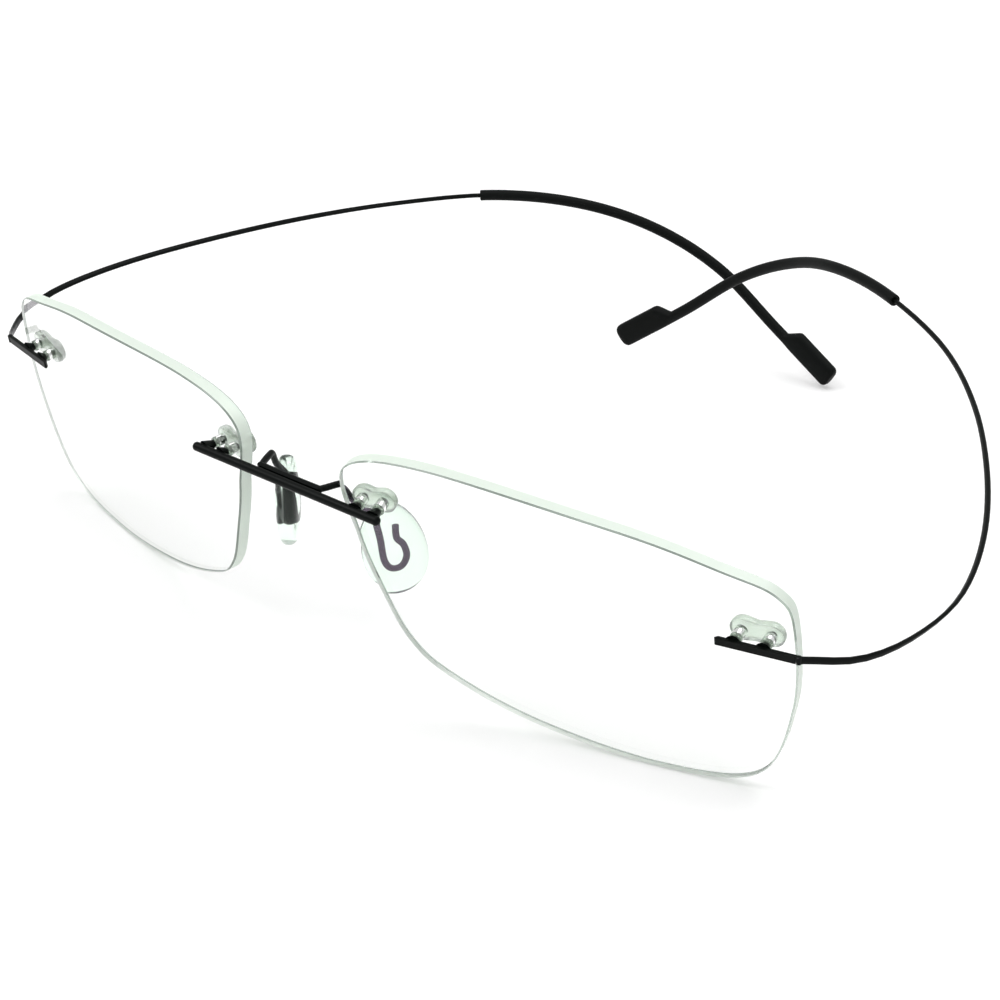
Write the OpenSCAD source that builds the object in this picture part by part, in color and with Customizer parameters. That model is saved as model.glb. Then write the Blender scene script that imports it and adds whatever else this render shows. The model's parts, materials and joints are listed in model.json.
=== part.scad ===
// Rimless eyeglasses: two drilled lenses joined by a wire bridge, with one-piece
// spring temples that bend instead of folding.
// +X is the wearer's left, the lenses face -Y, the temples run to +Y, +Z is up.
// The lenses' lower edges and one temple tip stand on z = 0.

/* [Lenses] */
// Width of one lens across its widest points
lens_w = 54; // [46:1:58]
// Height of one lens across its highest and lowest points
lens_h = 34; // [28:1:40]
// Thickness of a lens
lens_t = 1.7; // [1.2:0.1:2.4]
// Radius of a lens's front surface
lens_r = 300; // [150:10:400]
// Gap between the two lenses across the nose
lens_gap = 15; // [13:1:22]
// Angle that a lens turns back towards its temple
lens_wrap = 14; // [6:1:18]
// Angle that a lens's top leans forward
lens_tilt = 9; // [2:1:12]

/* [Bridge] */
// Diameter of the bridge bar
bar_d = 1.1; // [0.8:0.1:1.6]
// Distance that the bridge bar reaches past the second hole
bar_overhang = 1.7; // [1.2:0.1:4]
// Clear gap between the lens's front and the bar's nearest side, at the outer hole
bar_gap = 0.9; // [0.6:0.1:1.6]
// Height of the nose-side holes above the lens's middle
nose_hole_v = 10.2; // [5:0.2:11]
// Distance from the lens's nose-side box line to the first hole
nose_hole_in = 2.5; // [2:0.1:4]
// Distance between the two nose-side holes
nose_hole_pitch = 2.5; // [2.4:0.1:4]

/* [Temple mounts] */
// Height of the temple-side holes above the lens's middle
end_hole_v = 4.5; // [0:0.1:8]
// Distance from the lens's outer box line to the nearer hole
end_hole_in = 3.3; // [2.6:0.1:6]
// Distance between the two temple-side holes
end_hole_pitch = 3.4; // [3:0.1:5]
// Distance that the end bar reaches past the inner hole
end_bar_overhang = 2; // [1:0.1:4]
// Clear gap between the lens's front and the end bar
end_bar_gap = 1.2; // [0.8:0.1:1.6]
// Distance from the lens's outer box line to the flexing point
flex_out = 0.8; // [0.5:0.1:3]

/* [Pins and bushings] */
// Diameter of a mounting pin
pin_d = 0.8; // [0.6:0.1:1]
// Diameter of a pin's foot where it is brazed to its bar
pin_foot_d = 1.8; // [1.1:0.1:2.2]
// Outer diameter of a bushing's barrel
barrel_d = 1.4; // [1.2:0.1:1.8]
// Length of barrel that stands out of the lens's front
barrel_out = 0.3; // [0.1:0.1:0.5]
// Diameter of a bushing's round plate ends
lobe_d = 2.9; // [2.2:0.1:3.6]
// Thickness of a bushing's back plate
plate_t = 1.2; // [0.6:0.1:1.6]

/* [Nose pads] */
// Diameter of the pad wire
pad_wire_d = 0.8; // [0.6:0.1:1]
// Length of a nose pad below the place where its wire goes in
pad_len = 10.6; // [8:0.2:13]
// Width of a nose pad
pad_w = 8; // [6:0.5:9]
// Thickness of a nose pad
pad_t = 3; // [2.2:0.1:3.4]
// Distance of each pad's middle from the symmetry plane
pad_x = 8.4; // [7:0.2:11]
// Angle between a pad's face and the symmetry plane
pad_splay = 40; // [25:1:45]

/* [Temples] */
// Length of a temple along its curve from the flexing point
temple_len = 144; // [125:1:155]
// Height of the flat wire at the flexing point
wire_h = 0.9; // [0.7:0.05:1.2]
// Thickness of the flat wire at the flexing point
wire_t = 0.5; // [0.4:0.05:0.7]
// Diameter of the wire at its far end
wire_end_d = 0.6; // [0.4:0.05:0.8]
// Angle that the flat wire leans outwards behind its first bend
wire_lean = 45; // [0:5:60]
// Outward turn of the right temple, which stands wider than the left one
right_yaw = 12.6; // [8:0.2:20]
// Downward slope added to the right temple
right_drop = 8.8; // [4:0.2:12]
// Sideways twist of the right temple
right_twist = 5.2; // [0:0.2:8]

/* [Temple tips] */
// Length of a silicone tip, with its paddle
tip_len = 58.5; // [40:0.5:65]
// Diameter of the tip's tube
tip_d = 1.5; // [1.3:0.1:2]
// Length of the flat paddle at the end
paddle_len = 9.2; // [6:0.2:14]
// Width of the paddle
paddle_w = 3.2; // [2.4:0.1:4]
// Thickness of the paddle
paddle_t = 1.8; // [1.6:0.1:2.2]

/* [Hidden] */

// Radial clearance between a pin and its bushing, and between a barrel and its hole
fit_gap = 0.02;
// Gap of a brazed or seated face
seat_gap = 0.03;
// Gap round the wire inside a soft tip or pad
soft_gap = 0.08;
// Running gap of the flexing point
flex_gap = 0.04;

metal = [0.05, 0.055, 0.05];
silicone = [0.07, 0.08, 0.075];
clear = [0.86, 0.93, 0.88, 0.5];
lens_tint = [0.9, 0.96, 0.92, 0.35];

// Where the model's own middle lies in the part's frame
side_shift = 2.1;
back_shift = -44.4;
stand_h = 16.69;

up = [0, 0, 1];

// ---- Curves and skins ----

function catmull(a, b, c, d, t) =
    0.5 * (2 * b + (c - a) * t + (2 * a - 5 * b + 4 * c - d) * t * t
    + (3 * b - a - 3 * c + d) * t * t * t);

// Smooth closed curve through a ring of points
function closed_curve(pts, steps) = let (n = len(pts)) [
    for (i = [0 : n - 1], k = [0 : steps - 1])
        catmull(pts[(i + n - 1) % n], pts[i], pts[(i + 1) % n], pts[(i + 2) % n], k / steps)
];

// Smooth open curve through a row of points
function open_curve(pts, steps) = let (
    n = len(pts),
    first = 2 * pts[0] - pts[1],
    last = 2 * pts[n - 1] - pts[n - 2]
) [
    for (i = [0 : n - 2], k = [0 : steps - 1])
        catmull(i == 0 ? first : pts[i - 1], pts[i], pts[i + 1],
            i == n - 2 ? last : pts[i + 2], k / steps),
    pts[n - 1]
];

// Distance along a row of points to each of them
function distances(pts, i = 0, d = 0, out = []) = i >= len(pts) ? out
    : let (e = i == 0 ? 0 : d + norm(pts[i] - pts[i - 1])) distances(pts, i + 1, e, concat(out, e));

// Point at distance s along a row of points
function point_at(pts, dist, s) = [
    for (axis = [0 : 2]) lookup(s, [for (i = [0 : len(pts) - 1]) [dist[i], pts[i][axis]]])
];

function unit(v) = v / norm(v);

// A cross-section's own axes: along the wire, across it, and up the flat side
function section_axes(along, lean) = let (
    out = unit(cross(along, up)),
    high = cross(out, along)
) [cos(lean) * out - sin(lean) * high, cos(lean) * high + sin(lean) * out];

// Rounded cross-section from its lowest to its highest edge
function section(centre, axes, thick, low, high, sides) = [
    for (k = [0 : sides - 1]) let (a = 360 * (k + 0.5) / sides, c = cos(a), s = sin(a))
        centre + axes[0] * thick / 2 * sign(c) * pow(abs(c), 0.8)
        + axes[1] * ((high + low) / 2 + (high - low) / 2 * sign(s) * pow(abs(s), 0.8))
];

// Closed skin over a stack of rings that have as many points each
module skin(rings) {
    rows = len(rings);
    sides = len(rings[0]);
    walls = [
        for (r = [0 : rows - 2], k = [0 : sides - 1]) let (
            a = r * sides + k, b = r * sides + (k + 1) % sides
        ) each [[a, b, b + sides], [a, b + sides, a + sides]]
    ];
    caps = [
        [for (k = [sides - 1 : -1 : 0]) k],
        [for (k = [0 : sides - 1]) (rows - 1) * sides + k]
    ];
    polyhedron(points = [for (ring = rings) each ring], faces = concat(walls, caps));
}

// Rod along +Z with rounded ends
module rod(d, length) {
    r = d / 2;
    round_r = r * 0.7;
    corner = [for (a = [0 : 15 : 90]) [r - round_r + round_r * cos(a), round_r * sin(a) - round_r]];
    rotate_extrude($fn = 48)
        polygon(concat(
            [[0, 0]],
            [for (p = [for (i = [len(corner) - 1 : -1 : 0]) corner[i]]) [p[0], -p[1]]],
            [for (p = corner) [p[0], length + p[1]]],
            [[0, length]]
        ));
}

// ---- Places ----

module mirrored(side) {
    if (side > 0) children();
    else mirror([1, 0, 0]) children();
}

// From the symmetry plane's frame to the part's frame
module standing() {
    translate([side_shift, back_shift, stand_h]) children();
}

// Lens frame: x towards the temple, y towards the eye, z up the lens
lens_x = (lens_gap + lens_w * cos(lens_wrap)) / 2;

module at_lens() {
    translate([lens_x, 0, 0]) rotate([lens_tilt, 0, lens_wrap]) children();
}

lens_out = [cos(lens_wrap), sin(lens_wrap), 0];
lens_back = [-sin(lens_wrap) * cos(lens_tilt), cos(lens_wrap) * cos(lens_tilt), sin(lens_tilt)];
lens_up = [sin(lens_wrap) * sin(lens_tilt), -cos(lens_wrap) * sin(lens_tilt), cos(lens_tilt)];

function from_lens(p) = [lens_x, 0, 0] + p[0] * lens_out + p[1] * lens_back + p[2] * lens_up;

// Depth of the front surface at a point of the lens
function front_at(u, v) = lens_r - sqrt(lens_r * lens_r - u * u - v * v);

nose_holes = [for (i = [0, 1]) [-lens_w / 2 + nose_hole_in + i * nose_hole_pitch, nose_hole_v]];
end_holes = [for (i = [0, 1]) [lens_w / 2 - end_hole_in - i * end_hole_pitch, end_hole_v]];

// The bar runs level in front of both nose-side holes
bar_near = from_lens([nose_holes[0][0], front_at(nose_holes[0][0], nose_hole_v), nose_hole_v]);
bar_far = from_lens([nose_holes[1][0], front_at(nose_holes[1][0], nose_hole_v), nose_hole_v]);
bar_y = bar_near[1] - bar_gap - bar_d / 2;
bar_z = (bar_near[2] + bar_far[2]) / 2 - (bar_gap + bar_d / 2) * lens_back[2];
bar_half = bar_far[0] + bar_overhang;

// The end bar lies in front of the lens, square to it
end_bar_y = front_at(end_holes[0][0], end_hole_v) - end_bar_gap - wire_t / 2;
flex_u = lens_w / 2 + flex_out;
flex_r = wire_t / 2 + 0.06;
flex_point = from_lens([flex_u, end_bar_y, end_hole_v]);

// ---- Lenses ----

// Outline as shares of half the width and half the height, from the temple side round the top
lens_shape = [
    [0.99, 0.40], [0.92, 0.63], [0.71, 0.74], [0.26, 0.89], [-0.59, 1.00], [-0.98, 0.84],
    [-0.94, 0.33], [-0.85, -0.09], [-0.74, -0.45], [-0.57, -0.67], [-0.17, -0.89],
    [0.39, -1.00], [0.82, -0.87], [0.98, -0.25]
];
lens_outline = closed_curve([for (p = lens_shape) [p[0] * lens_w / 2, p[1] * lens_h / 2]], 10);

module lens() {
    deepest = 12;
    at_lens() difference() {
        intersection() {
            rotate([90, 0, 0]) linear_extrude(2 * deepest, center = true) polygon(lens_outline);
            translate([0, lens_r, 0]) sphere(lens_r, $fn = 360);
        }
        translate([0, lens_r, 0]) sphere(lens_r - lens_t, $fn = 360);
        for (hole = concat(nose_holes, end_holes))
            translate([hole[0], 0, hole[1]])
                rotate([90, 0, 0])
                    cylinder(d = barrel_d + 2 * fit_gap, h = 2 * deepest, center = true, $fn = 32);
    }
}

// ---- Bridge, pins and bushings ----

module bridge_rod(extra) {
    translate([-bar_half, bar_y, bar_z]) rotate([0, 90, 0]) rod(bar_d + 2 * extra, 2 * bar_half);
}

// Distance that a pin's tip stays short of the plate's outer face
pin_short = 0.3;

// One brazed pin, from a start in front of the lens to inside the bushing's plate
module pin(hole, start) {
    front = front_at(hole[0], hole[1]);
    foot_end = front - barrel_out - seat_gap;
    root = 0.2;
    translate([hole[0], 0, hole[1]]) rotate([-90, 0, 0]) {
        translate([0, 0, foot_end - root])
            cylinder(d = pin_d, h = root + barrel_out + lens_t + plate_t - pin_short, $fn = 32);
        translate([0, 0, start])
            cylinder(d1 = pin_foot_d, d2 = pin_d + 0.1, h = foot_end - start, $fn = 32);
    }
}

// Clear double bushing: two barrels through the lens on a waisted back plate
module bushing(holes) {
    reach = lobe_d / 2;
    seat = max([for (h = holes) front_at(abs(h[0]) + reach, h[1] + reach / 2)]) + lens_t + seat_gap;
    pitch = abs(holes[0][0] - holes[1][0]);
    waist_h = lobe_d * 0.84;
    at_lens() difference() {
        union() {
            for (h = holes)
                translate([h[0], 0, h[1]]) rotate([-90, 0, 0]) {
                    translate([0, 0, front_at(h[0], h[1]) - barrel_out])
                        cylinder(
                            d = barrel_d, h = seat + plate_t / 2 - front_at(h[0], h[1]) + barrel_out,
                            $fn = 32
                        );
                    translate([0, 0, seat]) rotate_extrude($fn = 48) lobe_profile();
                }
            translate([(holes[0][0] + holes[1][0]) / 2, seat + plate_t * 0.42, holes[0][1]])
                cube([pitch, plate_t * 0.84, waist_h], center = true);
        }
        for (h = holes)
            translate([h[0], seat + plate_t - pin_short + seat_gap, h[1]]) rotate([90, 0, 0])
                cylinder(d = pin_d + 2 * fit_gap, h = 3 * lens_t + plate_t, $fn = 32);
    }
}

// Half-section of a plate's rounded end
module lobe_profile() {
    round_r = plate_t * 0.45;
    r = lobe_d / 2;
    polygon(concat(
        [[0, 0], [r - 0.15, 0], [r, 0.15]],
        [
            for (a = [0 : 15 : 90])
                [r - round_r + round_r * cos(a), plate_t - round_r + round_r * sin(a)]
        ],
        [[0, plate_t]]
    ));
}

module bridge_pins() {
    difference() {
        at_lens() for (hole = nose_holes) {
            centre = from_lens([hole[0], 0, hole[1]]);
            pin(hole, (bar_y - centre[1]) / lens_back[1] + bar_d * 0.3);
        }
        bridge_rod(seat_gap);
    }
}

module end_pins() {
    at_lens() for (hole = end_holes) pin(hole, end_bar_y + wire_t / 2 + seat_gap);
}

// Flat bar in front of the lens, hollowed at its end for the flexing point
module end_bar() {
    inner_u = end_holes[1][0] - end_bar_overhang;
    outer_u = flex_u - flex_r * 0.85;
    t = wire_t / 2;
    nip = 0.12;
    at_lens() difference() {
        translate([0, end_bar_y, end_hole_v])
            linear_extrude(wire_h, center = true)
                polygon([
                    [inner_u, t - 0.3], [inner_u + 0.3, t], [outer_u, t],
                    [outer_u, -t], [inner_u + nip, -t], [inner_u, -t + nip]
                ]);
        translate([flex_u, end_bar_y, end_hole_v])
            cylinder(r = flex_r + flex_gap, h = 2 * wire_h, center = true, $fn = 48);
    }
}

// ---- Pad wire and nose pads ----

pad_mid = [pad_x, 1.2, 1.3];
pad_out = [cos(pad_splay), -sin(pad_splay), 0];
pad_high = unit([-0.1, -0.1, 1] - ([-0.1, -0.1, 1] * pad_out) * pad_out);
pad_wide = cross(pad_high, pad_out);

// Point in a pad's own plane, x across it towards the eye and y up it
function on_pad(x, y) = pad_mid + x * pad_wide + y * pad_high;

braze_x = 4.6;
braze_off = (bar_d + pad_wire_d) / 2 + 2 * seat_gap;
braze_y = bar_y + braze_off * cos(20);
braze_z = bar_z + braze_off * sin(20);

// Half of the pad wire: along the bar, back to a bend, down and round the loop in the pad
pad_route = [
    [0, braze_y, braze_z], [braze_x - 0.8, braze_y, braze_z], [braze_x, braze_y + 0.3, braze_z],
    [5.4, bar_y + 3.2, bar_z + 0.4], [5.8, bar_y + 4.1, bar_z + 0.1], [6.3, bar_y + 5.2, bar_z - 1.8],
    on_pad(-1.3, 4.6), on_pad(-1.2, 3.2), on_pad(-1.1, 1.4), on_pad(-1.1, -1.2),
    on_pad(-0.5, -2.4), on_pad(0.7, -2.4), on_pad(1.45, -1.2), on_pad(1.3, 0.3),
    on_pad(0.7, 1.3), on_pad(0.8, 2.9)
];

// The whole wire, from the right loop's end to the left loop's end
full_route = concat(
    [for (i = [len(pad_route) - 1 : -1 : 1]) [-pad_route[i][0], pad_route[i][1], pad_route[i][2]]],
    [for (i = [1 : len(pad_route) - 1]) pad_route[i]]
);

// Directions across a curve that turn with it and never twist
function carried(alongs, i = 0, last = [0, 0, 1], out = []) = i >= len(alongs) ? out
    : let (a = unit(last - (last * alongs[i]) * alongs[i])) carried(alongs, i + 1, a, concat(out, [a]));

module round_wire(curve, d, sides) {
    n = len(curve);
    alongs = [for (i = [0 : n - 1]) unit(curve[min(i + 1, n - 1)] - curve[max(i - 1, 0)])];
    acrosses = carried(alongs);
    skin([
        for (i = [0 : n - 1]) [
            for (k = [0 : sides - 1]) let (a = 360 * k / sides)
                curve[i] + d / 2 * (cos(a) * acrosses[i] + sin(a) * cross(alongs[i], acrosses[i]))
        ]
    ]);
}

// Clear drop-shaped pad with a slot in its top that the wire's loop slips into
module nose_pad() {
    pad_foot = 6;
    sides = 28;
    top_turn = 40;
    turns = [for (i = [0 : 17]) -86 + (top_turn + 86) * i / 17];
    slot_w = 4.3;
    slot_t = pad_wire_d + 2 * soft_gap + 0.4;
    slot_mid = 0.1;
    reach = pad_len / (1 + sin(top_turn));
    function height(a) = reach * (1 + sin(a)) - pad_foot;
    slot_low = -2.4 - pad_wire_d / 2 - 0.45;
    function ring(x_mid, w, t, y, square = 0.85) = [
        for (k = [0 : sides - 1]) let (a = 360 * (k + 0.5) / sides, c = cos(a), s = sin(a))
            on_pad(x_mid + w / 2 * sign(c) * pow(abs(c), square), y)
            + pad_out * t / 2 * sign(s) * pow(abs(s), square)
    ];
    outer = [
        for (a = turns)
            ring(0, pad_w * cos(a) * (1 - 0.2 * sin(a)), pad_t * pow(cos(a), 0.5), height(a))
    ];
    top_y = height(top_turn);
    slot = [
        ring(slot_mid, slot_w, slot_t, top_y, 0.6),
        ring(slot_mid, slot_w, slot_t, slot_low + 0.6, 0.6),
        ring(slot_mid, slot_w - 0.9, slot_t, slot_low, 0.6)
    ];
    skin(concat(outer, slot));
}

// ---- Temples ----

// The temple's curve from the flexing point, drawn for a length of 144
drawn_len = 144;
temple_points = [
    [0, 0, 0], [4, 5.75, -1], [6.5, 12.25, -0.25], [6.75, 20.5, 1], [3.25, 30.5, 2.5],
    [-3.25, 41.5, 4], [-12, 52.5, 5.5], [-22.25, 61.5, 6.75], [-34.5, 67.75, 7.75], [-45.5, 72.75, 6.5],
    [-55, 77, 3], [-64.25, 78.5, -2.25], [-73, 77.75, -9.5], [-81.75, 76, -16.25]
];
temple_curve = open_curve([for (p = temple_points) p * temple_len / drawn_len], 10);
temple_dist = distances(temple_curve);
curve_len = temple_dist[len(temple_dist) - 1];
tip_start = curve_len - tip_len;
wire_stop = curve_len - paddle_len * 0.6;

function along_at(s) = let (e = 0.4)
    unit(temple_at(min(s + e, curve_len)) - temple_at(max(s - e, 0)));

// Share of the way from one value to another, held at both ends
function share(s, from, to) = max(0, min(1, (s - from) / (to - from)));

// How far the flat wire leans at a distance along it
function lean_at(s) = wire_lean * share(s, 4, 22) * (1 - share(s, 40, tip_start));

function temple_at(s) = point_at(temple_curve, temple_dist, s);

function wire_ring(s, extra) = let (
    k = share(s, 6, tip_start),
    t = wire_t + (wire_end_d - wire_t) * k + 2 * extra,
    h = wire_h + (wire_end_d - wire_h) * k + 2 * extra
) section(temple_at(s), section_axes(along_at(s), lean_at(s)), t, -h / 2, h / 2, 16);

// Turned from the drawn place about the flexing point
module turned(side) {
    translate(flex_point)
        rotate(side > 0 ? 0 : [0, 0, -right_yaw])
            rotate(side > 0 ? 0 : [-right_drop, 0, 0])
                rotate(side > 0 ? 0 : [0, right_twist, 0])
                    children();
}

module temple_wire(side) {
    rows = 72;
    mirrored(side) {
        turned(side) skin([for (i = [0 : rows]) wire_ring(wire_stop * i / rows, 0)]);
        at_lens() translate([flex_u, end_bar_y, end_hole_v])
            cylinder(r = flex_r, h = wire_h, center = true, $fn = 48);
    }
}

// Soft tip: a bored tube whose end widens on its upper side into a flat paddle
module temple_tip(side) {
    tube_rows = 26;
    sides = 16;
    ramp = 2;
    paddle_start = curve_len - paddle_len;
    r = tip_d / 2;
    bore_end = wire_stop + 0.4;
    function ring(s, thick, high) =
        section(temple_at(s), section_axes(along_at(s), 0), thick, -r, high, sides);
    bore = [
        for (i = [tube_rows : -1 : 0])
            wire_ring(tip_start + (bore_end - tip_start) * i / tube_rows, soft_gap)
    ];
    tube = [
        for (i = [0 : tube_rows])
            ring(tip_start + (paddle_start - tip_start) * i / tube_rows, tip_d, r)
    ];
    full = paddle_w - r;
    paddle = [
        for (p = [[0.25, 0.2], [0.5, 0.45], [0.8, 0.8], [1, 0.95], [1.2, 1]])
            ring(paddle_start + p[0] * ramp, tip_d + (paddle_t - tip_d) * p[1], r + (full - r) * p[1]),
        for (back = [0.9, 0.45, 0.18, 0.04]) let (cut = 0.9 - sqrt(0.81 - pow(0.9 - back, 2)))
            section(temple_at(curve_len - back), section_axes(along_at(curve_len - back), 0),
                paddle_t - cut, -r + cut, full - cut, sides)
    ];
    mirrored(side) turned(side) skin(concat(bore, tube, paddle));
}

// ---- Named parts ----

module lens_left() { color(lens_tint) standing() mirrored(1) lens(); }
module lens_right() { color(lens_tint) standing() mirrored(-1) lens(); }
module bridge_bar() { color(metal) standing() bridge_rod(0); }
module bridge_pins_left() { color(metal) standing() mirrored(1) bridge_pins(); }
module bridge_pins_right() { color(metal) standing() mirrored(-1) bridge_pins(); }
module bridge_bushing_left() { color(clear) standing() mirrored(1) bushing(nose_holes); }
module bridge_bushing_right() { color(clear) standing() mirrored(-1) bushing(nose_holes); }
module pad_wire() { color(metal) standing() round_wire(open_curve(full_route, 4), pad_wire_d, 12); }
module nose_pad_left() { color(clear) standing() mirrored(1) nose_pad(); }
module nose_pad_right() { color(clear) standing() mirrored(-1) nose_pad(); }
module end_bar_left() { color(metal) standing() mirrored(1) end_bar(); }
module end_bar_right() { color(metal) standing() mirrored(-1) end_bar(); }
module end_pins_left() { color(metal) standing() mirrored(1) end_pins(); }
module end_pins_right() { color(metal) standing() mirrored(-1) end_pins(); }
module end_bushing_left() { color(clear) standing() mirrored(1) bushing(end_holes); }
module end_bushing_right() { color(clear) standing() mirrored(-1) bushing(end_holes); }
module temple_wire_left() { color(metal) standing() temple_wire(1); }
module temple_wire_right() { color(metal) standing() temple_wire(-1); }
module temple_tip_left() { color(silicone) standing() temple_tip(1); }
module temple_tip_right() { color(silicone) standing() temple_tip(-1); }

lens_left();
lens_right();
bridge_bar();
bridge_pins_left();
bridge_pins_right();
bridge_bushing_left();
bridge_bushing_right();
pad_wire();
nose_pad_left();
nose_pad_right();
end_bar_left();
end_bar_right();
end_pins_left();
end_pins_right();
end_bushing_left();
end_bushing_right();
temple_wire_left();
temple_wire_right();
temple_tip_left();
temple_tip_right();
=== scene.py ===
"""Rimless eyeglasses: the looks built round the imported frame.

Lengths are in millimetres in the glasses' own frame, whose x = 0 is the symmetry plane and whose
origin is the middle between the lenses. part_point() takes them to the part's frame, in metres.
"""

import json
import math

import bmesh
import bpy
from mathutils import Matrix, Vector


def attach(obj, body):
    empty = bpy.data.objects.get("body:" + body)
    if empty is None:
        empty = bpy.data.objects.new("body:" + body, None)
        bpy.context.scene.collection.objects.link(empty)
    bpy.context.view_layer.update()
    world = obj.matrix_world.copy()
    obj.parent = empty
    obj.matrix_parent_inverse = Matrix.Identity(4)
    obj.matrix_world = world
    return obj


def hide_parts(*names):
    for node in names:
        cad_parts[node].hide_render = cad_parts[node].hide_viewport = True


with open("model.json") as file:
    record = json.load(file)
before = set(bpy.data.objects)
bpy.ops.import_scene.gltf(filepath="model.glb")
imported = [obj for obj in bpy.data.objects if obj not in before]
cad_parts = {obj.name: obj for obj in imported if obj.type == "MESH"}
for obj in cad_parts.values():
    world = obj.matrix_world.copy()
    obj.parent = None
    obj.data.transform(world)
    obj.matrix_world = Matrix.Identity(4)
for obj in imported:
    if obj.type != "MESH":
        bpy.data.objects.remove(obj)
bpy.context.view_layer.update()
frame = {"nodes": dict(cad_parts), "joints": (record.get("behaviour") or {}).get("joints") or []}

MM = 0.001
UP = Vector((0, 0, 1))

# ---- Driving sizes, the same as the frame's ----

LENS_W, LENS_H, LENS_T, LENS_R = 54, 34, 1.7, 300
LENS_GAP, LENS_WRAP, LENS_TILT = 15, math.radians(14), math.radians(9)
LENS_SHAPE = [
    (0.99, 0.40), (0.92, 0.63), (0.71, 0.74), (0.26, 0.89), (-0.59, 1.00), (-0.98, 0.84),
    (-0.94, 0.33), (-0.85, -0.09), (-0.74, -0.45), (-0.57, -0.67), (-0.17, -0.89),
    (0.39, -1.00), (0.82, -0.87), (0.98, -0.25),
]
NOSE_HOLE_V, NOSE_HOLE_IN, NOSE_HOLE_PITCH = 10.2, 2.5, 2.5
END_HOLE_V, END_HOLE_IN, END_HOLE_PITCH = 4.5, 3.3, 3.4
END_BAR_GAP, FLEX_OUT, WIRE_T = 1.2, 0.8, 0.5
BARREL_D, FIT_GAP = 1.4, 0.02
PAD_MID, PAD_SPLAY = Vector((8.4, 1.2, 1.3)), math.radians(40)
PAD_LEN, PAD_W, PAD_T = 11.6, 8, 3
RIGHT_YAW, RIGHT_DROP, RIGHT_TWIST = math.radians(12.6), math.radians(8.8), math.radians(5.2)
TIP_LEN, TIP_D = 58.5, 1.5
PADDLE_LEN, PADDLE_W, PADDLE_T = 9.2, 3.2, 1.8
TEMPLE_POINTS = [
    (0, 0, 0), (4, 5.75, -1), (6.5, 12.25, -0.25), (6.75, 20.5, 1), (3.25, 30.5, 2.5),
    (-3.25, 41.5, 4), (-12, 52.5, 5.5), (-22.25, 61.5, 6.75), (-34.5, 67.75, 7.75), (-45.5, 72.75, 6.5),
    (-55, 77, 3), (-64.25, 78.5, -2.25), (-73, 77.75, -9.5), (-81.75, 76, -16.25),
]

# ---- Places ----

LENS_X = (LENS_GAP + LENS_W * math.cos(LENS_WRAP)) / 2
LENS_OUT = Vector((math.cos(LENS_WRAP), math.sin(LENS_WRAP), 0))
LENS_BACK = Vector(
    (
        -math.sin(LENS_WRAP) * math.cos(LENS_TILT),
        math.cos(LENS_WRAP) * math.cos(LENS_TILT),
        math.sin(LENS_TILT),
    )
)
LENS_UP = Vector(
    (
        math.sin(LENS_WRAP) * math.sin(LENS_TILT),
        -math.cos(LENS_WRAP) * math.sin(LENS_TILT),
        math.cos(LENS_TILT),
    )
)


def from_lens(u, depth, v):
    """A point across, behind and up the left lens, in the glasses' own frame."""
    return Vector((LENS_X, 0, 0)) + u * LENS_OUT + depth * LENS_BACK + v * LENS_UP


def front_at(u, v, radius=LENS_R):
    """Depth of a lens surface of that radius at a point of the lens."""
    return radius - math.sqrt(radius * radius - u * u - v * v)


NOSE_U = -LENS_W / 2 + NOSE_HOLE_IN
END_U = LENS_W / 2 - END_HOLE_IN
NOSE_HOLES = [(NOSE_U + i * NOSE_HOLE_PITCH, NOSE_HOLE_V) for i in (0, 1)]
END_HOLES = [(END_U - i * END_HOLE_PITCH, END_HOLE_V) for i in (0, 1)]
FLEX = from_lens(
    LENS_W / 2 + FLEX_OUT, front_at(END_U, END_HOLE_V) - END_BAR_GAP - WIRE_T / 2, END_HOLE_V
)

joint_pos = {j["name"]: Vector(j["pos_m"]) / MM for j in frame["joints"]}
left_flex, right_flex = joint_pos["temple_left_flex"], joint_pos["temple_right_flex"]
MIDDLE = Vector(((left_flex.x + right_flex.x) / 2, left_flex.y - FLEX.y, left_flex.z - FLEX.z))


def part_point(p, side=1):
    """A point of the glasses' own frame, mirrored for the right side, in the part's frame."""
    return (MIDDLE + Vector((p[0] * side, p[1], p[2]))) * MM


# ---- Curves and meshes ----


def catmull(a, b, c, d, t):
    """The point a share t of the way from b to c on a smooth curve through all four."""
    return 0.5 * (
        2 * b + (c - a) * t + (2 * a - 5 * b + 4 * c - d) * t * t
        + (3 * b - a - 3 * c + d) * t * t * t
    )


def closed_curve(points, steps):
    pts = [Vector(p) for p in points]
    n = len(pts)
    return [
        catmull(pts[i - 1], pts[i], pts[(i + 1) % n], pts[(i + 2) % n], k / steps)
        for i in range(n)
        for k in range(steps)
    ]


def open_curve(points, steps):
    pts = [Vector(p) for p in points]
    pts = [2 * pts[0] - pts[1]] + pts + [2 * pts[-1] - pts[-2]]
    out = [
        catmull(pts[i - 1], pts[i], pts[i + 1], pts[i + 2], k / steps)
        for i in range(1, len(pts) - 2)
        for k in range(steps)
    ]
    return out + [pts[-2]]


class Path:
    """A curve that gives its point and direction at a distance along it."""

    def __init__(self, points):
        self.points = points
        self.dist = [0.0]
        for a, b in zip(points, points[1:]):
            self.dist.append(self.dist[-1] + (b - a).length)
        self.length = self.dist[-1]

    def at(self, s):
        s = min(max(s, 0), self.length)
        i = next((k for k in range(1, len(self.dist)) if self.dist[k] >= s), len(self.dist) - 1)
        gap = self.dist[i] - self.dist[i - 1]
        return self.points[i - 1].lerp(self.points[i], (s - self.dist[i - 1]) / gap)

    def along(self, s, reach=0.4):
        return (self.at(s + reach) - self.at(s - reach)).normalized()


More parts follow.
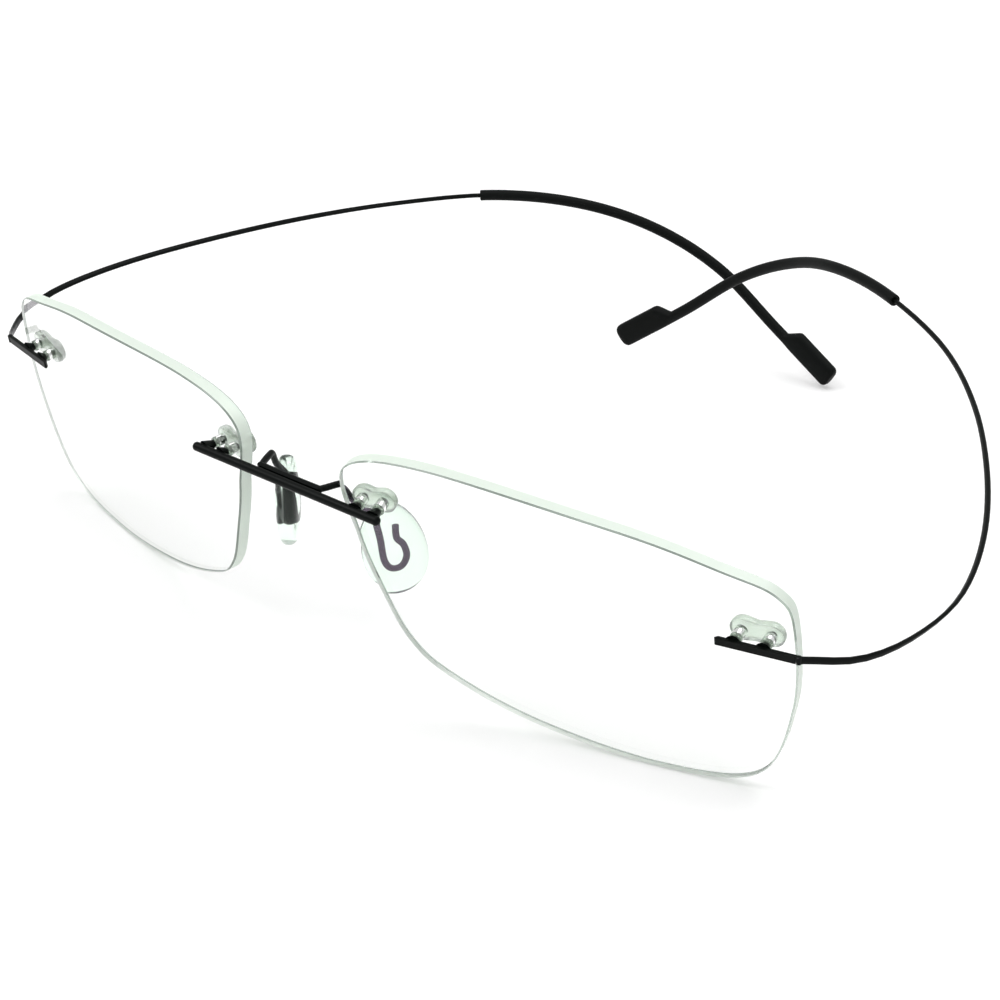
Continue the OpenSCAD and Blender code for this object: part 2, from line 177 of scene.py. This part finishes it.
def add_mesh(name, verts, faces, materials, face_materials=None, body="front", smooth=40):
    """A named mesh that rides on a body, with smooth shading up to that many degrees."""
    mesh = bpy.data.meshes.new(name)
    mesh.from_pydata(verts, [], faces)
    for m in materials:
        mesh.materials.append(m)
    if face_materials:
        mesh.polygons.foreach_set("material_index", face_materials)
    bm = bmesh.new()
    bm.from_mesh(mesh)
    bmesh.ops.recalc_face_normals(bm, faces=bm.faces)
    bm.to_mesh(mesh)
    bm.free()
    mesh.shade_smooth()
    mesh.set_sharp_from_angle(angle=math.radians(smooth))
    obj = bpy.data.objects.new(name, mesh)
    bpy.context.scene.collection.objects.link(obj)
    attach(obj, body)
    return obj


def skin(rings, cap_first=True, cap_last=True):
    """Vertices and faces of a closed skin over a stack of rings that have as many points each."""
    sides = len(rings[0])
    verts = [v for ring in rings for v in ring]
    faces = []
    for r in range(len(rings) - 1):
        for k in range(sides):
            a, b = r * sides + k, r * sides + (k + 1) % sides
            faces.append((a, b, b + sides, a + sides))
    if cap_first:
        faces.append(tuple(reversed(range(sides))))
    if cap_last:
        faces.append(tuple((len(rings) - 1) * sides + k for k in range(sides)))
    return verts, faces


# ---- Materials ----


def principled(name, color, roughness, **values):
    """A Principled material with a fine grain in its roughness."""
    grain_scale = values.pop("grain_scale", 900)
    grain = values.pop("grain", 0.06)
    bump = values.pop("bump", 0)
    mat = bpy.data.materials.new(name)
    mat.use_nodes = True
    nodes, links = mat.node_tree.nodes, mat.node_tree.links
    bsdf = nodes["Principled BSDF"]
    bsdf.inputs["Base Color"].default_value = (*color, 1)
    for key, value in values.items():
        bsdf.inputs[key.replace("_", " ")].default_value = value
    place = nodes.new("ShaderNodeTexCoord")
    noise = nodes.new("ShaderNodeTexNoise")
    noise.inputs["Scale"].default_value = grain_scale
    noise.inputs["Detail"].default_value = 4
    links.new(place.outputs["Object"], noise.inputs["Vector"])
    spread = nodes.new("ShaderNodeMapRange")
    spread.inputs["To Min"].default_value = max(roughness - grain, 0)
    spread.inputs["To Max"].default_value = roughness + grain
    links.new(noise.outputs["Fac"], spread.inputs["Value"])
    links.new(spread.outputs["Result"], bsdf.inputs["Roughness"])
    if bump:
        relief = nodes.new("ShaderNodeBump")
        relief.inputs["Strength"].default_value = bump
        relief.inputs["Distance"].default_value = 0.02 * MM
        links.new(noise.outputs["Fac"], relief.inputs["Height"])
        links.new(relief.outputs["Normal"], bsdf.inputs["Normal"])
    return mat


BLACK_COAT = principled(
    "black_coat", (0.002, 0.003, 0.0026), 0.34, Specular_IOR_Level=0.08, bump=0.15,
    grain_scale=2500,
)
SILICONE = principled(
    "black_silicone", (0.0022, 0.003, 0.0027), 0.5, Specular_IOR_Level=0.08, bump=0.2,
    grain_scale=3500,
)
LENS_CLEAR = principled(
    "lens_clear", (0.99, 1, 0.99), 0.004, IOR=1.5, Transmission_Weight=1, grain=0.004,
    Specular_Tint=(0.75, 0.5, 0.85, 1),
)
LENS_EDGE = principled(
    "lens_edge", (0.9, 1, 0.9), 0.35, IOR=1.5, Transmission_Weight=0.3, grain=0.08,
    grain_scale=1200,
)
# Lens bevel band: darker and greyer than the glass. This is painted shade for the dark line a bevel
# shows by reflection and refraction.
LENS_BEVEL_SHADE = principled(
    "lens_bevel_painted_shade", (0.42, 0.5, 0.44), 0.2, IOR=1.5, Transmission_Weight=0.5, grain=0.06,
    grain_scale=1200,
)
BUSH_CLEAR = principled(
    "bushing_clear", (0.8, 0.9, 0.8), 0.22, IOR=1.49, Transmission_Weight=0.85, grain=0.04,
)
PAD_CLEAR = principled(
    "pad_clear", (0.84, 0.96, 0.87), 0.06, IOR=1.22, Transmission_Weight=0.97, grain=0.03,
)

# ---- CAD pieces that keep their shape ----

for node in frame["nodes"].values():
    node.data.materials.clear()
    node.data.materials.append(BLACK_COAT)

# ---- Lenses ----


def lens(side, name):
    """A lens as rings from its middle to a bevelled, ground edge, drilled for four barrels."""
    outline = closed_curve([(u * LENS_W / 2, v * LENS_H / 2) for u, v in LENS_SHAPE], 14)
    n = len(outline)
    rings = 22
    bevel = 0.18
    inner_r = LENS_R - LENS_T

    def point(q, depth):
        return part_point(from_lens(q.x, depth, q.y), side)

    def inset(q):
        return q * (1 - bevel / q.length)

    def surface(radius, offset):
        rows = []
        for r in range(1, rings + 1):
            share = r / rings
            rows.append([inset(q) * share for q in outline])
        return [[point(q, offset + front_at(q.x, q.y, radius)) for q in row] for row in rows]

    front = surface(LENS_R, 0)
    back = surface(inner_r, LENS_T)
    rim = [
        [point(q, front_at(q.x, q.y) + bevel) for q in outline],
        [point(q, front_at(q.x, q.y, inner_r) + LENS_T - bevel) for q in outline],
    ]
    stack = front + rim + back[::-1]
    verts = [v for row in stack for v in row]
    faces, kinds = [], []
    polished, ground, bevelled = 0, 1, 2
    # The bevel rows take the painted-shade finish, the ground edge the frosted one.
    band = {rings - 1: bevelled, rings: ground, rings + 1: bevelled}
    for r in range(len(stack) - 1):
        for k in range(n):
            a, b = r * n + k, r * n + (k + 1) % n
            faces.append((a, b, b + n, a + n))
            kinds.append(band.get(r, polished))
    first, last = len(verts), len(verts) + 1
    verts += [point(Vector((0, 0)), 0), point(Vector((0, 0)), LENS_T)]
    top = (len(stack) - 1) * n
    for k in range(n):
        faces.append((first, (k + 1) % n, k))
        faces.append((last, top + k, top + (k + 1) % n))
        kinds += [polished, polished]
    finishes = [LENS_CLEAR, LENS_EDGE, LENS_BEVEL_SHADE]
    obj = add_mesh(name, verts, faces, finishes, kinds, smooth=35)
    drill(obj, NOSE_HOLES + END_HOLES, side)
    return obj


def drill(obj, holes, side):
    """Cuts a round hole through the lens at each place."""
    bm = bmesh.new()
    radius = (BARREL_D / 2 + FIT_GAP) * MM
    for u, v in holes:
        middle = part_point(from_lens(u, front_at(u, v) + LENS_T / 2, v), side)
        ahead = part_point(from_lens(u, 10, v), side) - part_point(from_lens(u, 0, v), side)
        turn = ahead.to_track_quat("Z", "Y").to_matrix().to_4x4()
        bmesh.ops.create_cone(
            bm, cap_ends=True, segments=48, radius1=radius, radius2=radius, depth=4 * LENS_T * MM,
            matrix=Matrix.Translation(middle) @ turn,
        )
    mesh = bpy.data.meshes.new("drills")
    bm.to_mesh(mesh)
    bm.free()
    cutter = bpy.data.objects.new("drills", mesh)
    bpy.context.scene.collection.objects.link(cutter)
    cut = obj.modifiers.new("holes", "BOOLEAN")
    cut.operation = "DIFFERENCE"
    cut.solver = "EXACT"
    cut.object = cutter
    bpy.context.view_layer.update()
    done = bpy.data.meshes.new_from_object(
        obj.evaluated_get(bpy.context.evaluated_depsgraph_get())
    )
    obj.modifiers.clear()
    obj.data = done
    done.shade_smooth()
    done.set_sharp_from_angle(angle=math.radians(35))
    bpy.data.objects.remove(cutter)


for side, word in ((1, "left"), (-1, "right")):
    obj = lens(side, f"lens_{word}_glass")
    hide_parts(f"lens_{word}")

# ---- Bushings ----

LOBE_D, PLATE_T, BARREL_OUT, PIN_D, SEAT_GAP = 2.9, 1.2, 0.3, 0.8, 0.03


def bushing(holes, side, name):
    """One moulded piece: a waisted plate behind the lens and a short sleeve round each pin."""
    r, half = LOBE_D / 2, abs(holes[0][0] - holes[1][0]) / 2
    mid_u, v = (holes[0][0] + holes[1][0]) / 2, holes[0][1]
    reach = max(front_at(abs(u) + r, w + r / 2) for u, w in holes)
    seat = reach + LENS_T + SEAT_GAP
    waist = 0.86 * r
    quarter = [(half + r * math.cos(a), r * math.sin(a)) for a in (0, 0.5, 1.0, 1.5)]
    quarter += [(half * 0.5, (r + waist) / 2)]
    upper = quarter + [(0, waist)] + [(-x, y) for x, y in reversed(quarter)]
    ring = upper + [(x, -y) for x, y in reversed(upper[1:-1])]
    outline = closed_curve(ring, 6)

    def level(depth, inset):
        row = []
        for q in outline:
            q = q * (1 - inset / max(q.length, 0.5))
            row.append(part_point(from_lens(mid_u + q.x, seat + depth, v + q.y), side))
        return row

    profile = ((0, 0.2), (0.06, 0.06), (0.16, 0), (0.62, 0), (0.82, 0.05), (0.98, 0.15))
    profile += ((1.1, 0.3), (1.17, 0.5), (PLATE_T, 0.8))
    verts, faces = skin([level(depth, inset) for depth, inset in profile])
    turns = 40
    for u, w in holes:
        front = front_at(u, w) - BARREL_OUT
        outer, inner = BARREL_D / 2 - 0.005, PIN_D / 2 + FIT_GAP
        tube = (
            (front + 0.06, outer), (seat - 0.005, outer), (seat - 0.005, inner), (front, inner),
            (front, outer - 0.06),
        )
        base = len(verts)
        for depth, radius in tube:
            for k in range(turns):
                a = 2 * math.pi * k / turns
                place = from_lens(u + radius * math.cos(a), depth, w + radius * math.sin(a))
                verts.append(part_point(place, side))
        for i in range(len(tube)):
            j = (i + 1) % len(tube)
            for k in range(turns):
                n = (k + 1) % turns
                faces.append(
                    (base + i * turns + k, base + i * turns + n, base + j * turns + n,
                     base + j * turns + k)
                )
    return add_mesh(name, verts, faces, [BUSH_CLEAR], smooth=50)


for side, word in ((1, "left"), (-1, "right")):
    for place, holes in (("bridge", NOSE_HOLES), ("end", END_HOLES)):
        obj = bushing(holes, side, f"{place}_bushing_{word}_moulded")
        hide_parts(f"{place}_bushing_{word}")

# ---- Nose pads ----

PAD_OUT = Vector((math.cos(PAD_SPLAY), -math.sin(PAD_SPLAY), 0))
PAD_LEAN = Vector((-0.1, -0.1, 1))
PAD_HIGH = (PAD_LEAN - PAD_LEAN.dot(PAD_OUT) * PAD_OUT).normalized()
PAD_WIDE = PAD_HIGH.cross(PAD_OUT)


def nose_pad(side, name):
    """A soft drop, crowned on its nose side and flatter on its lens side."""
    sides, rows = 48, 30
    rings = []
    for i in range(1, rows):
        a = math.pi * (i / rows - 0.5)
        y = PAD_LEN / 2 * math.sin(a)
        full = math.cos(a) ** 0.92
        w = PAD_W * full * (1 - 0.14 * math.sin(a))
        t = PAD_T * math.cos(a) ** 0.5
        ring = []
        for k in range(sides):
            b = 2 * math.pi * k / sides
            c, s = math.cos(b), math.sin(b)
            across = w / 2 * math.copysign(abs(c) ** 0.85, c)
            out = t / 2 * math.copysign(abs(s) ** 0.75, s)
            p = PAD_MID + across * PAD_WIDE + y * PAD_HIGH + out * PAD_OUT
            ring.append(part_point(p, side))
        rings.append(ring)
    verts, faces = skin(rings)
    return add_mesh(name, verts, faces, [PAD_CLEAR], smooth=60)


for side, word in ((1, "left"), (-1, "right")):
    obj = nose_pad(side, f"nose_pad_{word}_gel")
    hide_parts(f"nose_pad_{word}")

# ---- Temple tips ----

temple = Path(open_curve(TEMPLE_POINTS, 10))


def temple_place(p, side):
    """A point of the drawn temple, turned as the right temple is, in the part's frame."""
    p = Vector(p)
    if side < 0:
        p = Matrix.Rotation(-RIGHT_DROP, 3, "X") @ (Matrix.Rotation(RIGHT_TWIST, 3, "Y") @ p)
        p = Matrix.Rotation(-RIGHT_YAW, 3, "Z") @ p
    return part_point(FLEX + p, side)


def tip_ring(s, thick, low, high, side, sides=28, square=0.8):
    """A rounded cross-section of the sleeve, from its lowest to its highest edge."""
    along = temple.along(s)
    out = along.cross(UP).normalized()
    over = out.cross(along)
    ring = []
    for k in range(sides):
        a = 2 * math.pi * (k + 0.5) / sides
        c, q = math.cos(a), math.sin(a)
        x = thick / 2 * math.copysign(abs(c) ** square, c)
        y = (high + low) / 2 + (high - low) / 2 * math.copysign(abs(q) ** square, q)
        ring.append(temple_place(temple.at(s) + out * x + over * y, side))
    return ring


def temple_tip(side, name, body):
    """A sleeve with a rounded mouth that widens on its upper side into a flat paddle."""
    r = TIP_D / 2
    start = temple.length - TIP_LEN
    paddle = temple.length - PADDLE_LEN
    mouth_r, lip, ramp = 0.36, 0.12, 1.7
    rings = [tip_ring(start + 1.5, 2 * mouth_r, -mouth_r, mouth_r, side, square=1)]
    rings.append(tip_ring(start + lip, 2 * mouth_r, -mouth_r, mouth_r, side, square=1))
    for a in (0, 30, 60, 90):
        back = lip * math.cos(math.radians(a))
        edge = r - lip + lip * math.sin(math.radians(a))
        place = start if a == 0 else start + lip - back
        rings.append(tip_ring(place, 2 * edge, -edge, edge, side, square=1))
    tube_rows = 60
    for i in range(1, tube_rows):
        s = start + lip + (paddle - start - lip) * i / tube_rows
        rings.append(tip_ring(s, TIP_D, -r, r, side, square=1))
    full = PADDLE_W - r
    flare = ((0, 0), (0.12, 0.03), (0.35, 0.28), (0.65, 0.62), (0.9, 0.88), (1.05, 0.97), (1.25, 1))
    for place, share in flare:
        thick = TIP_D + (PADDLE_T - TIP_D) * share
        high = r + (full - r) * share
        rings.append(
            tip_ring(paddle + place * ramp, thick, -r, high, side, square=1 - 0.35 * share)
        )
    flat_rows = 10
    stop = temple.length
    flat_from, flat_to = paddle + 1.3 * ramp, stop - 0.8
    for i in range(flat_rows):
        s = flat_from + (flat_to - flat_from) * i / flat_rows
        rings.append(tip_ring(s, PADDLE_T, -r, full, side, square=0.65))
    round_r = 0.8
    for a in range(0, 91, 15):
        back = round_r * (1 - math.sin(math.radians(a)))
        cut = round_r * (1 - math.cos(math.radians(a))) * 0.95
        rings.append(
            tip_ring(stop - back - 0.001, PADDLE_T - cut, -r + cut, full - cut, side, square=0.65)
        )
    verts, faces = skin(rings)
    return add_mesh(name, verts, faces, [SILICONE], body=body, smooth=50)


for side, word in ((1, "left"), (-1, "right")):
    obj = temple_tip(side, f"temple_tip_{word}_sleeve", f"temple_{word}")
    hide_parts(f"temple_tip_{word}")

# ---- Floor, light and camera ----


def white_to_eye(mat, dark, bright):
    """Makes a floor or world that is white to the camera and in gloss and glass."""
    nodes, links = mat.node_tree.nodes, mat.node_tree.links
    rays = nodes.new("ShaderNodeLightPath")
    either = nodes.new("ShaderNodeMath")
    either.operation = "MAXIMUM"
    links.new(rays.outputs["Is Glossy Ray"], either.inputs[0])
    links.new(rays.outputs["Is Transmission Ray"], either.inputs[1])
    both = nodes.new("ShaderNodeMath")
    both.operation = "MAXIMUM"
    links.new(rays.outputs["Is Camera Ray"], both.inputs[0])
    links.new(either.outputs[0], both.inputs[1])
    pick = nodes.new("ShaderNodeMapRange")
    pick.inputs["To Min"].default_value = dark
    pick.inputs["To Max"].default_value = bright
    links.new(both.outputs[0], pick.inputs["Value"])
    return pick.outputs["Result"]


world = bpy.data.worlds.new("studio")
world.use_nodes = True
bpy.context.scene.world = world
sky = world.node_tree.nodes["Background"]
sky.inputs["Color"].default_value = (1, 1, 1, 1)
world.node_tree.links.new(white_to_eye(world, 0.5, 0.62), sky.inputs["Strength"])

FLOOR_HALF = 3
floor_mesh = bpy.data.meshes.new("floor")
floor_mesh.from_pydata(
    [(x * FLOOR_HALF, y * FLOOR_HALF, -0.00005) for x, y in ((-1, -1), (1, -1), (1, 1), (-1, 1))],
    [],
    [(0, 1, 2, 3)],
)
floor = bpy.data.objects.new("floor", floor_mesh)
bpy.context.scene.collection.objects.link(floor)
paper = bpy.data.materials.new("white_paper")
paper.use_nodes = True
paper_nodes = paper.node_tree.nodes
paper_bsdf = paper_nodes["Principled BSDF"]
paper_bsdf.inputs["Base Color"].default_value = (0.8, 0.8, 0.8, 1)
paper_bsdf.inputs["Roughness"].default_value = 0.9
paper_bsdf.inputs["Specular IOR Level"].default_value = 0.1
paper_bsdf.inputs["Emission Color"].default_value = (1, 1, 1, 1)
paper.node_tree.links.new(
    white_to_eye(paper, 0.0, 0.2), paper_bsdf.inputs["Emission Strength"]
)
floor_mesh.materials.append(paper)


def softbox(name, place, target, size, power):
    """A square area lamp that faces a point."""
    light = bpy.data.lights.new(name, "AREA")
    light.size = size
    light.energy = power
    obj = bpy.data.objects.new(name, light)
    obj.location = place
    obj.rotation_euler = (Vector(target) - Vector(place)).to_track_quat("-Z", "Y").to_euler()
    bpy.context.scene.collection.objects.link(obj)


softbox("key", (-0.5, -0.5, 0.9), (0, 0, 0), 0.7, 6)
softbox("top", (0.1, 0.3, 1.1), (0, 0, 0), 0.9, 6)
softbox("fill", (0.9, -0.5, 0.5), (0, 0, 0), 0.6, 2.5)

AZIMUTH, ELEVATION, ROLL = math.radians(40.04), math.radians(28.64), math.radians(-0.18)
CAMERA_AT = Vector((210.01, -220.23, 170.34))
FOCAL, SENSOR = 108.73, 36

back = Vector(
    (
        math.sin(AZIMUTH) * math.cos(ELEVATION),
        -math.cos(AZIMUTH) * math.cos(ELEVATION),
        math.sin(ELEVATION),
    )
)
level = Vector((math.cos(AZIMUTH), math.sin(AZIMUTH), 0))
upright = back.cross(level)
right = math.cos(ROLL) * level + math.sin(ROLL) * upright
high = back.cross(right)
camera_data = bpy.data.cameras.new("camera")
camera_data.lens = FOCAL
camera_data.sensor_width = SENSOR
camera_data.clip_start = 0.01
camera = bpy.data.objects.new("camera", camera_data)
camera.matrix_world = Matrix.Translation(part_point(CAMERA_AT)) @ Matrix(
    (right, high, back)
).transposed().to_4x4()
bpy.context.scene.collection.objects.link(camera)
bpy.context.scene.camera = camera
bpy.context.scene.view_settings.view_transform = "Standard"
